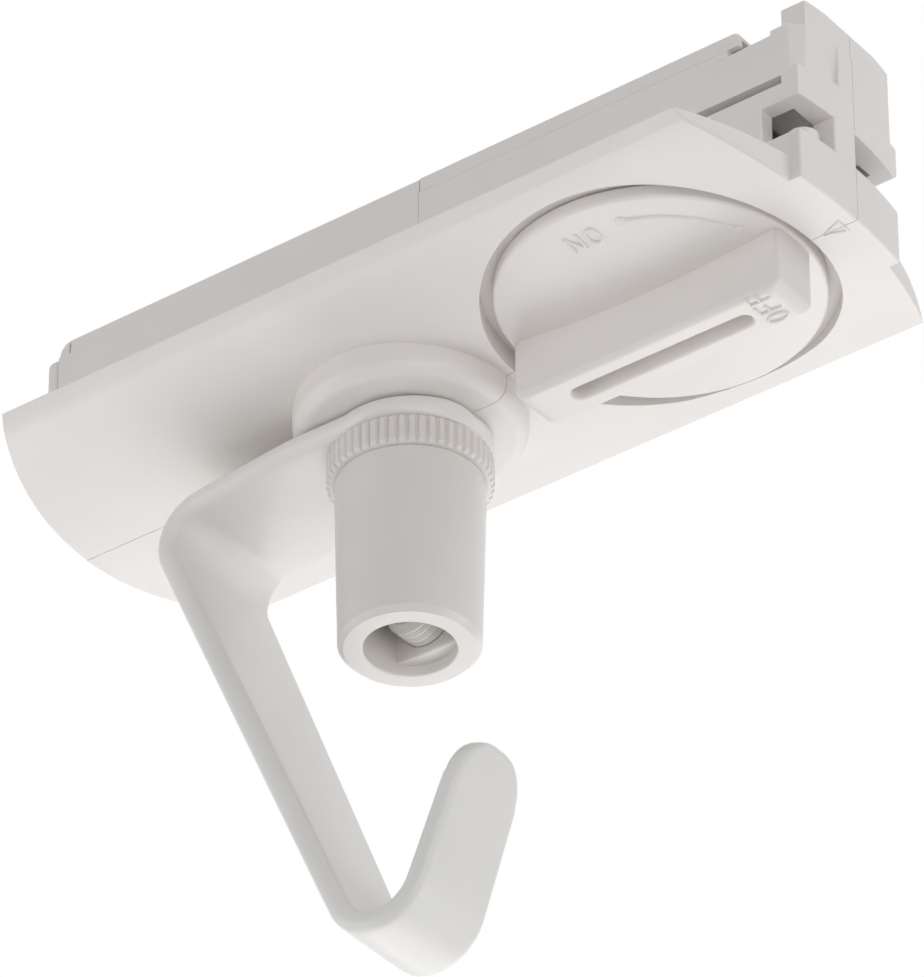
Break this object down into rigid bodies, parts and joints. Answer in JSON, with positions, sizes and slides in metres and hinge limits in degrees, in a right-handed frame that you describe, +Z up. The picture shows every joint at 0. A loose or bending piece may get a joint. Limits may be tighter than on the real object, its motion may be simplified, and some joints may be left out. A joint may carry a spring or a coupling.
{
  "type": "track light adapter",
  "caption": "White lighting-track adapter with a turning knob that locks it and makes contact, a cord grip for a pendant's cord and a swivelling steel cord hook.",
  "frame": {"origin": "middle of the skirt's upper face, on the plane that meets the track", "axes": "+X along the track towards the nose and the knob, +Y across it towards the far half, +Z up into the track"},
  "size_m": [0.0799, 0.036, 0.0716],
  "materials": {
    "shell": "white, fine spark texture",
    "knob": "white, fine spark texture",
    "nut": "white, straight knurling",
    "grip": "white, satin",
    "nylon": "natural white",
    "hook_paint": "white gloss powder coat",
    "insulator": "grey",
    "terminal_plastic": "off-white",
    "contact_brass": "bright",
    "spring_steel": "nickel plated",
    "nipple_steel": "zinc plated",
    "screw_steel": "zinc plated"
  },
  "bodies": {
    "housing": {"near_half_shell": "shell", "far_half_shell": "shell", "rear_cover": "shell", "front_cap": "shell", "housing_screws": "screw_steel", "live_feed_strip": "contact_brass", "neutral_feed_strip": "contact_brass", "earth_strip": "contact_brass", "terminal_block": "terminal_plastic", "terminal_clamps": "contact_brass", "terminal_screws": "screw_steel", "nipple": "nipple_steel", "ring_nut": "nut", "cord_grip": "grip"},
    "knob": {"knob": "knob", "rotor": "insulator", "rotor_screw": "screw_steel", "friction_washer": "spring_steel", "locking_plate": "spring_steel", "live_blade": "contact_brass", "neutral_blade": "contact_brass"},
    "hook": {"hook": "hook_paint"},
    "clamp": {"clamp_screw": "nylon"}
  },
  "joints": [
    {"name": "knob_turn", "type": "hinge", "parent": "housing", "child": "knob", "pos_m": [0.02105, 0, 0], "axis": [0, 0, 1], "range_deg": [0, 90]},
    {"name": "hook_swivel", "type": "hinge", "parent": "housing", "child": "hook", "pos_m": [-0.00455, 0, 0], "axis": [0, 0, 1], "range_deg": [-120, 120]},
    {"name": "clamp_screw_travel", "type": "slide", "parent": "housing", "child": "clamp", "axis": [0, 1, 0], "range_m": [-0.0024, 0.0026]}
  ]
}
